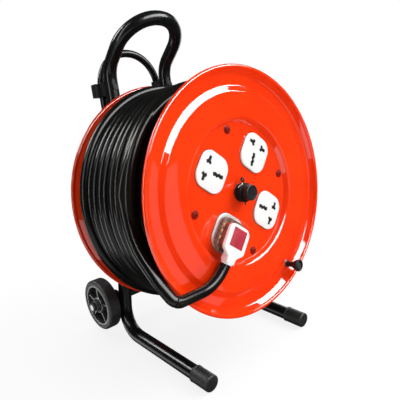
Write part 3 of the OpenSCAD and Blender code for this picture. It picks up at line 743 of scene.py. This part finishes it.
HUB_OUTLINE = [(8, 83), (14, 83), (14, 92.5), (10, 92.5), (10, 94), (8, 94)]
CAP_OUTLINE = [(0, 94), (11.5, 94), (11.5, 104), (9.4, 104), (9.0, 103.4), (0, 103.4)]
build("hub_base", *lathe(fillet(HUB_OUTLINE, [0, 0.8, 1.2, 0, 0, 0]), 64),
      DRUM, "dull_plastic", "frame", ["hub_collar"], "black_plastic")
build("hub_front", *lathe(fillet(CAP_OUTLINE, [0, 0.8, 1.4, 0.4, 0.4, 0]), 64),
      DRUM, "black_plastic", "frame", ["hub_cap"])

CLIP_R = 14.5
clip = [polar(CLIP_R, 140 - 4.4 * k, 88 + 0.5 * k) for k in range(8)]
bar_piece("hub_clip", clip, 0.7, "bright", "frame", matrix=DRUM, sides=12, soft=0.3, slot="steel")

# ---- Sockets ----

def star(arms, width, centre):
    """Outline of a slot with several arms, each (direction in degrees, length)."""
    out = []
    half = width / 2
    order = sorted(arms)
    for i, (direction, length) in enumerate(order):
        a = math.radians(direction)
        along = Vector((math.cos(a), math.sin(a)))
        across = Vector((-along.y, along.x))
        out.append(along * length - across * half)
        out.append(along * length + across * half)
        following = order[(i + 1) % len(order)][0]
        middle = math.radians(direction + ((following - direction) % 360) / 2)
        out.append(Vector((math.cos(middle), math.sin(middle))) * half * 1.25)
    return [p + Vector(centre) for p in out]


def zigzag(length, width, gap, centre):
    """Outline of a long slot along x made of two overlapping lobes, each set off to its own side."""
    half, side = length / 2 - gap, width / 2
    edge = [(-1.0, 0.15), (-0.8, -0.95), (-0.42, -0.6), (-0.16, -0.95), (0.1, -0.35), (0.5, -0.6),
            (0.86, -0.25)]
    edge += [(-x, -y) for x, y in edge]
    points = [(x * half, y * side - math.copysign(gap, y)) for x, y in edge]
    return [p + Vector(centre) for p in fillet(points[::-1], 0.7, 3)]


def slots(gap=0.0):
    """Outlines of the three openings of one outlet, drawn smaller by gap all round."""
    return [
        zigzag(22, 9.6, gap, (-11.0, 0)),
        star([(90, 7.6 - gap), (215, 5.4 - gap), (325, 5.4 - gap)], 4.9 - 2 * gap, (12.5, 11.0)),
        star([(270, 7.6 - gap), (35, 5.4 - gap), (145, 5.4 - gap)], 4.9 - 2 * gap, (12.5, -11.0)),
    ]


def sockets():
    face = slab(rounded_square(FACE_W, FACE_W, 18, 10), DISC_Z + 0.45, DISC_Z + FACE_T, 1.3, slots(), 4)
    # The step under each face and the fillers in its slots are near-black: painted shade under the face's edge and
    # down the slot openings.
    step = slab(rounded_square(FACE_W + 1.2, FACE_W + 1.2, 18.6, 10), DISC_Z, DISC_Z + 0.5, 0.15)
    painted_shade_fillers = [slab(outline, DISC_Z + 0.3, DISC_Z + FACE_T - 0.5, 0.2) for outline in slots(0.15)]
    faces_, plates = [], []
    for i in range(4):
        m = turned(SOCKET_TURN + 90 * i, SOCKET_R)
        faces_.append(placed(face, m))
        plates += [placed(part, m) for part in (step, *painted_shade_fillers)]
    verts, faces = merge(*faces_)
    build("socket_fronts", verts, faces, DRUM, "white_gloss", "drum", ["socket_faces"])
    verts, faces = merge(*plates)
    build("socket_painted_shade_fillers", verts, faces, DRUM, "painted_shade_filler", "drum", slot="white_body")


sockets()

# ---- Plug ----

PLUG = DRUM @ turned(SOCKET_TURN + 90 * PLUG_SOCKET, SOCKET_R)
WIRE_R = 1.5


def plug():
    base = rounded_square(56, 54, 15, 8, (5, 0))
    inner = rounded_square(51.6, 49.6, 13, 8, (5, 0))
    wall = slab(base, PLUG_Z, LID_Z, 0.3, [inner[::-1]], 2, 1.5)
    floor_ = slab(rounded_square(52, 50, 13, 8, (5, 0)), PLUG_Z + 0.1, PLUG_Z + 2.4, 0.3)
    build("plug_shell", *merge(wall, floor_), PLUG, "clear", "plug", ["plug_base"])

    outline = fillet([(24, 21), (-13, 21), (-13, -21), (24, -21), (33, -8.6), (42, -8.2),
                      (42, 8.2), (33, 8.6)], [7, 11, 11, 7, 3, 1.2, 1.2, 3], 6)
    lid = slab(outline, LID_Z + 4.2, LID_TOP, 1.5, (), 5)
    chin = slab(rounded_square(13, 16.5, 2, 4, (33.5, 0)), LID_Z - 3, LID_Z + 4.4, 0.4)
    build("plug_lid", *merge(lid, chin), PLUG, "white_gloss", "plug", ["plug_cover"])
    label = slab(rounded_square(27, 27, 0.9, 3, (5, 0)), LID_TOP - 0.4, LID_TOP + 0.12, 0.1)
    build("plug_patch", *label, PLUG, "label", "plug", ["plug_label"])
    neck = lathe(fillet([(7.5, 31), (8.3, 31), (8.3, 38), (7.9, 44), (7.5, 44)], [0, 0.6, 0, 0.5, 0]), 40)
    along_x = Matrix.Translation((0, 0, NECK_Z)) @ Matrix.Rotation(math.pi / 2, 4, "Y")
    build("plug_neck", *placed(neck, along_x), PLUG, "white_gloss", "plug", ["plug_sleeve"])

    carrier = slab(rounded_square(50, 48, 12, 6, (5, 0)), PLUG_Z + 2.6, PLUG_Z + 8.5, 0.8)
    ribs = [slab(rounded_square(2, 30, 0.8, 2, (x, 0)), PLUG_Z + 5.8, LID_Z - 0.6, 0.3) for x in (-14, 2, 20)]
    heart = slab(rounded_square(38, 41, 8, 6, (5.5, 0)), PLUG_Z + 8.4, LID_Z + 4.0, 0.6)
    build("plug_carrier", *merge(carrier, *ribs), PLUG, "carrier", "plug", slot="clear")
    build("plug_heart", *heart, PLUG, "brown", "plug", slot="clear")
    blocks = []
    for x, y in ((-11, 0), (11.5, 11), (11.5, -11)):
        blocks.append(slab(rounded_square(10, 7.5, 1, 3, (x, y)), PLUG_Z + 5, LID_Z - 1.5, 0.6))
        screw = lathe([(0, 0), (2.4, 0), (2.4, 1.2), (1.8, 1.6), (0, 1.6)], 24)
        blocks.append(placed(screw, Matrix.Translation((x, y, LID_Z - 1.6))))
    for y in (-22.2, 22.2):
        for x in (-6, 3, 12):
            blocks.append(slab(rounded_square(5.5, 1.4, 0.5, 2, (x, y)), PLUG_Z + 2.5, LID_Z - 2.5, 0.2))
    build("plug_terminals", *merge(*blocks), PLUG, "brass", "plug", slot="brass")
    for finish, path in (
        ("wire_brown", [(30, 5, 91), (24, 10, 91), (19, 15, 92), (12, 13, 93)]),
        ("wire_blue", [(30, -5, 91), (24, -10, 91), (19, -15, 92), (12, -13, 93)]),
        ("wire_green", [(30, 0, 90.5), (20, 3, 91), (5, -4, 92), (-7, -1, 93)]),
    ):
        bar_piece("plug_" + finish, smooth_line(path, 6), WIRE_R, finish, "plug", matrix=PLUG, sides=12,
                  soft=0.3, slot="cable")


plug()

# ---- Winding knob ----

def knob():
    profile = fillet([(2.6, 0), (5.4, 0), (4.4, 3.4), (4.5, 9), (6.6, 15), (9.5, 20), (9.5, 24), (7.6, 24),
                      (7.0, 22.4), (4.6, 22.4), (4.2, 23.1), (2.6, 23.1)],
                     [0, 1, 3, 8, 8, 2, 1.2, 0.7, 0.5, 0.4, 0.3, 0], 5)
    m = DRUM @ turned(KNOB_ANGLE, KNOB_R) @ Matrix.Translation((0, 0, KNOB_Z))
    build("knob_skin", *lathe(profile, 64), m, "black_plastic", "knob", ["winding_knob"])


knob()

# ---- Wheels ----

def rounded_box(size, centre, soft, turn=0.0):
    part = slab(rounded_square(size[0], size[1], soft, 3), -size[2] / 2, size[2] / 2, soft, (), 3, soft)
    return placed(part, turned(turn) @ Matrix.Translation(centre))


def wheel(side):
    """Wheel with its outer face up, then turned onto its own side of the reel."""
    wheel_y = AXLE.y + WHEEL_BACK
    m = Matrix([[0, 0, 1, WHEEL_IN], [1, 0, 0, wheel_y], [0, 1, 0, WHEEL_H], [0, 0, 0, 1]])
    if side == "left":
        m = Matrix.Diagonal((-1, 1, 1, 1)) @ m
    rim_r = WHEEL_R - TYRE_T
    tread = fillet([(rim_r, 0), (WHEEL_R, 0), (WHEEL_R, WHEEL_W), (rim_r, WHEEL_W)], [0.5, 4, 4, 0.5], 6)
    build("tyre_skin_" + side, *placed(lathe(tread, 96), m), ROW, "tyre", side + "_wheel",
          ["tyre_" + side])
    rim = lathe(fillet([(rim_r - 4, 0.6), (rim_r + 0.1, 0.6), (rim_r + 0.1, WHEEL_W - 0.6),
                        (rim_r - 4, WHEEL_W - 0.6)], 0.7, 3), 96)
    web = lathe([(HUB_R - 2, 9), (rim_r - 2, 9), (rim_r - 2, 13), (HUB_R - 2, 13)], 96)
    hub = lathe(fillet(
        [(5.1, 0), (HUB_R, 0), (HUB_R, WHEEL_W - 3), (HUB_R - 1.6, WHEEL_W - 1), (HUB_R - 3, WHEEL_W - 1),
         (HUB_R - 3.6, WHEEL_W - 3), (10, WHEEL_W - 3), (9, WHEEL_W + HUB_PROUD), (5.1, WHEEL_W + HUB_PROUD)],
        [0, 0.6, 1, 0.6, 0.5, 0.4, 0.8, 0.9, 0], 4), 64)
    length = rim_r - 3 - HUB_R + 2
    middle = (HUB_R - 1 + length / 2, 0, 11.2)
    spokes = [rounded_box((length, 3.6, 17), middle, 0.9, 90 + 72 * i) for i in range(5)]
    build("wheel_skin_" + side, *placed(merge(rim, hub, *spokes), m), ROW, "wheel_plastic", side + "_wheel",
          ["wheel_" + side], "black_plastic")
    # Painted shade: the web between the spokes is darker and duller than the wheel's own plastic.
    build("wheel_web_" + side, *placed(web, m), ROW, "dull_plastic", side + "_wheel", slot="black_plastic")


for side in ("left", "right"):
    wheel(side)

# ---- CAD nodes that are shown as they are ----

FINISH_OF_NODE = {"link_wires": "copper", "guide_bolts": "black_paint", "split_pin": "dark_steel",
                  "thrust_washers": "dark_steel", "wheel_nuts": "dark_steel", "drum_bushes": "black_plastic"}
SOFT_EDGE = {"bow_guides": 0.9, "axle_plate": 0.5, "axle_nut": 0.7, "wheel_nuts": 0.5, "plate_nuts": 0.4,
             "plate_bolts": 0.4, "bow_stops": 0.8, "axle_brackets": 0.5}
slot_of = {s["node"]: s["material_slot"] for s in frame["record"]["subparts"]}
for name, node in frame["nodes"].items():
    slot = "orange" if slot_of[name] == "orange_paint" else slot_of[name]
    finish = FINISH_OF_NODE.get(name, slot)
    node.data.materials.clear()
    node.data.materials.append(look(finish))
    if node.hide_render:
        continue
    weld = node.modifiers.new("weld", "WELD")
    weld.merge_threshold = 0.00001
    edge = node.modifiers.new("soft edge", "BEVEL")
    edge.width = SOFT_EDGE.get(name, 0.25) * MM
    edge.segments = 2
    edge.limit_method = "ANGLE"
    edge.angle_limit = math.radians(40)
    edge.harden_normals = False

# ---- Floor, light and camera ----

def plain(name, colour, rough):
    material = bpy.data.materials.new(name)
    material.use_nodes = True
    shader = material.node_tree.nodes["Principled BSDF"]
    shader.inputs["Base Color"].default_value = (*colour, 1)
    shader.inputs["Roughness"].default_value = rough
    shader.inputs["Specular IOR Level"].default_value = 0.2
    return material


def floor_finish(fade_from, fade_to, paleness):
    """Matte pale floor that fades into the white background away from the reel."""
    material = plain("pale_floor", (0.95, 0.95, 0.95), 0.8)
    tree = material.node_tree
    place = tree.nodes.new("ShaderNodeNewGeometry")
    away = tree.nodes.new("ShaderNodeVectorMath")
    away.operation = "LENGTH"
    share = tree.nodes.new("ShaderNodeMapRange")
    share.interpolation_type = "SMOOTHSTEP"
    share.inputs["From Min"].default_value = fade_from
    share.inputs["From Max"].default_value = fade_to
    share.inputs["To Min"].default_value = paleness
    glow = tree.nodes.new("ShaderNodeEmission")
    mix = tree.nodes.new("ShaderNodeMixShader")
    tree.links.new(place.outputs["Position"], away.inputs[0])
    tree.links.new(away.outputs["Value"], share.inputs["Value"])
    tree.links.new(share.outputs["Result"], mix.inputs["Fac"])
    tree.links.new(tree.nodes["Principled BSDF"].outputs["BSDF"], mix.inputs[1])
    tree.links.new(glow.outputs["Emission"], mix.inputs[2])
    tree.links.new(mix.outputs["Shader"], tree.nodes["Material Output"].inputs["Surface"])
    return material


FLOOR_GAP = 0.0003


def floor():
    half = 6.0
    mesh = bpy.data.meshes.new("floor")
    outline = [(-half, -half, 0), (half, -half, 0), (half, half, 0), (-half, half, 0)]
    mesh.from_pydata(outline, [], [(0, 1, 2, 3)])
    mesh.materials.append(floor_finish(fade_from=0.3, fade_to=0.62, paleness=0.84))
    piece = bpy.data.objects.new("floor", mesh)
    bpy.context.scene.collection.objects.link(piece)
    piece.location.z = -FLOOR_GAP
    piece.visible_glossy = False


floor()


def area_light(name, direction, distance, width, height, power, diffuse=True, glossy=True):
    light = bpy.data.lights.new(name, "AREA")
    light.shape = "RECTANGLE"
    light.size = width
    light.size_y = height
    light.energy = power
    lamp = bpy.data.objects.new(name, light)
    bpy.context.scene.collection.objects.link(lamp)
    towards = Vector(direction).normalized()
    lamp.location = AXLE * MM + towards * distance
    lamp.rotation_mode = "QUATERNION"
    lamp.rotation_quaternion = towards.to_track_quat("Z", "Y")
    lamp.visible_camera = False
    lamp.visible_diffuse = diffuse
    lamp.visible_glossy = glossy


def bearing(azimuth, elevation):
    """Direction from the drum: azimuth 0 is straight out of the front, 90 is to the right."""
    a, e = math.radians(azimuth), math.radians(elevation)
    return math.sin(a) * math.cos(e), -math.cos(a) * math.cos(e), math.sin(e)


area_light("front softbox", bearing(24, 38), 1.9, 2.1, 1.0, 182, diffuse=False)
area_light("front key", bearing(48, 38), 2.2, 2.0, 1.4, 44, glossy=False)
area_light("top fill", (0.1, 0.2, 1), 2.4, 3.0, 3.0, 36, glossy=False)
area_light("left strip", bearing(-88, 22), 1.8, 0.2, 2.2, 30, diffuse=False)
area_light("back strip", (-0.43, 0.65, 0.58), 1.8, 0.35, 0.8, 30, diffuse=False)
area_light("wheel panel", (-0.6, 0.65, -0.45), 1.8, 1.2, 0.8, 9, diffuse=False)
area_light("low front panel", bearing(13, -11), 1.8, 1.5, 0.96, 3.4, diffuse=False)
area_light("low left panel", bearing(-60, -30), 1.8, 2.5, 1.2, 20, diffuse=False)
area_light("right glow", bearing(112, 4), 1.8, 0.9, 1.6, 16, diffuse=False)

def studio_world():
    """White to the camera, mid grey as fill light and nearly black in reflections."""
    world = bpy.data.worlds.new("studio")
    world.use_nodes = True
    bpy.context.scene.world = world
    tree = world.node_tree
    rays = tree.nodes.new("ShaderNodeLightPath")

    def choose(ray, otherwise, grey):
        mix = tree.nodes.new("ShaderNodeMix")
        mix.data_type = "RGBA"
        tree.links.new(rays.outputs[ray], mix.inputs["Factor"])
        if isinstance(otherwise, float):
            mix.inputs["A"].default_value = (otherwise, otherwise, otherwise, 1)
        else:
            tree.links.new(otherwise, mix.inputs["A"])
        mix.inputs["B"].default_value = (grey, grey, grey, 1)
        return mix.outputs["Result"]

    unseen = choose("Is Glossy Ray", 0.5, 0.06)
    seen = choose("Is Camera Ray", unseen, 1)
    tree.links.new(seen, tree.nodes["Background"].inputs["Color"])


studio_world()

scene = bpy.context.scene
scene.view_settings.view_transform = "Standard"
scene.view_settings.look = "None"


CAMERA_FROM_AXLE = Vector((-447.694, -485.851, 167.743))
CAMERA_TURN = (42.149, 15.399, -3.048)
FOCAL_OVER_WIDTH = 426.045 / 400


def camera():
    """Close camera, left of the front and a little above the axle, tilted slightly like a hand-held one."""
    yaw, pitch, roll = (math.radians(a) for a in CAMERA_TURN)
    ahead = Vector((math.sin(yaw) * math.cos(pitch), math.cos(yaw) * math.cos(pitch), -math.sin(pitch)))
    right = Vector((math.cos(yaw), -math.sin(yaw), 0))
    up = right.cross(ahead)
    side = right * math.cos(roll) + up * math.sin(roll)
    top = up * math.cos(roll) - right * math.sin(roll)
    place = AXLE + CAMERA_FROM_AXLE
    lens = bpy.data.cameras.new("camera")
    lens.sensor_width = 36
    lens.lens = FOCAL_OVER_WIDTH * lens.sensor_width
    lens.clip_start = 0.01
    view = bpy.data.objects.new("camera", lens)
    scene.collection.objects.link(view)
    rows = [[side[i], top[i], -ahead[i], place[i] * MM] for i in range(3)]
    view.matrix_world = Matrix(rows + [[0, 0, 0, 1]])
    scene.camera = view


camera()
